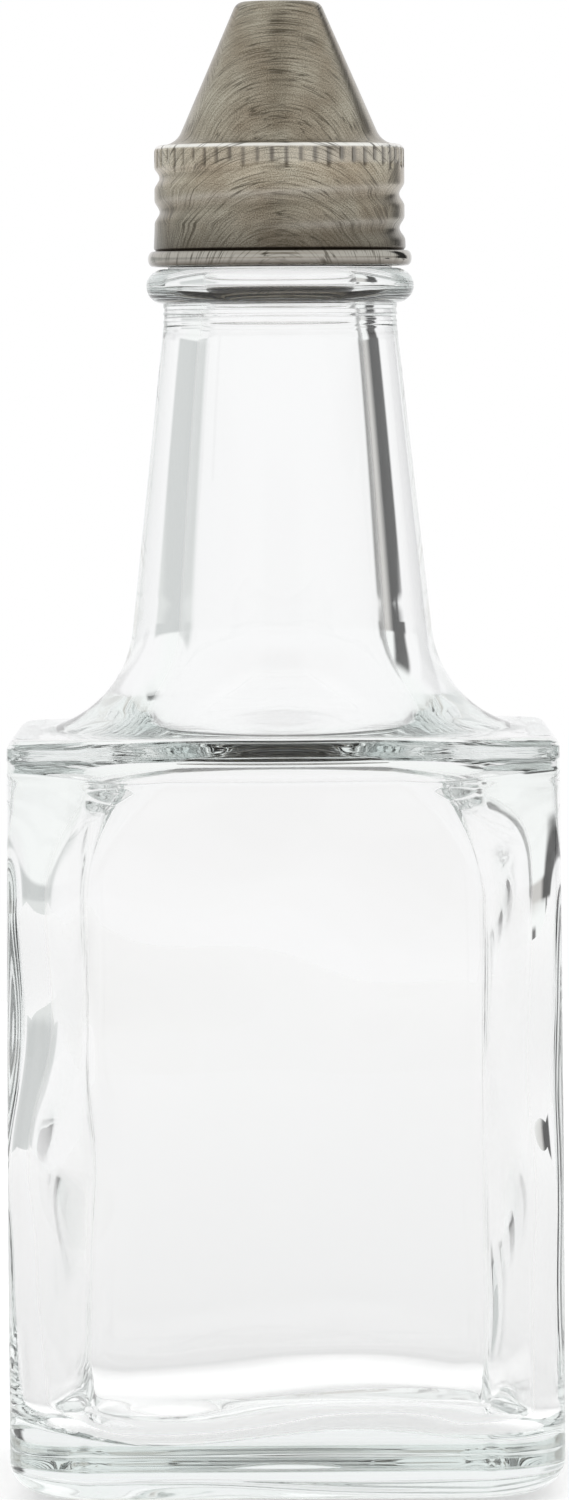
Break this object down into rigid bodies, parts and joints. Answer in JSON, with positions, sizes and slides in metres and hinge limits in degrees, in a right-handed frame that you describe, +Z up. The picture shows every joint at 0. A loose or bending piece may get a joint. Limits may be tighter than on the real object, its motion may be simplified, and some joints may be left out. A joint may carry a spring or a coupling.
{
  "type": "oil bottle",
  "caption": "Square clear glass oil bottle with a long round neck and a screwed-on conical steel pouring cap.",
  "frame": {"origin": "centre of the base, on the surface that the bottle stands on", "axes": "+Z up along the neck; X and Y square to the body's flat sides, with -Y the side that the picture shows"},
  "size_m": [0.0586, 0.0586, 0.158],
  "materials": {
    "clear_glass": "clear pressed glass with a faint grey-green tint in its thick edges",
    "brushed_steel": "thin sheet steel, spun and brushed round the axis, with fine scratches",
    "washer_plastic": "soft white sealing plastic"
  },
  "bodies": {
    "bottle": {"glass_bottle": "clear_glass"},
    "washer": {"sealing_washer": "washer_plastic"},
    "cap": {"pouring_cap": "brushed_steel"}
  },
  "joints": [
    {"name": "cap_lift", "type": "slide", "parent": "bottle", "child": "washer", "axis": [0, 0, 1], "range_m": [0, 0.0128]},
    {"name": "cap_turn", "type": "hinge", "parent": "washer", "child": "cap", "pos_m": [0, 0, 0.1423], "axis": [0, 0, 1], "range_deg": [0, 1260]}
  ],
  "couplings": [
    {"joint": "cap_lift", "follows": "cap_turn", "m_per_rad": 0.00058092}
  ]
}
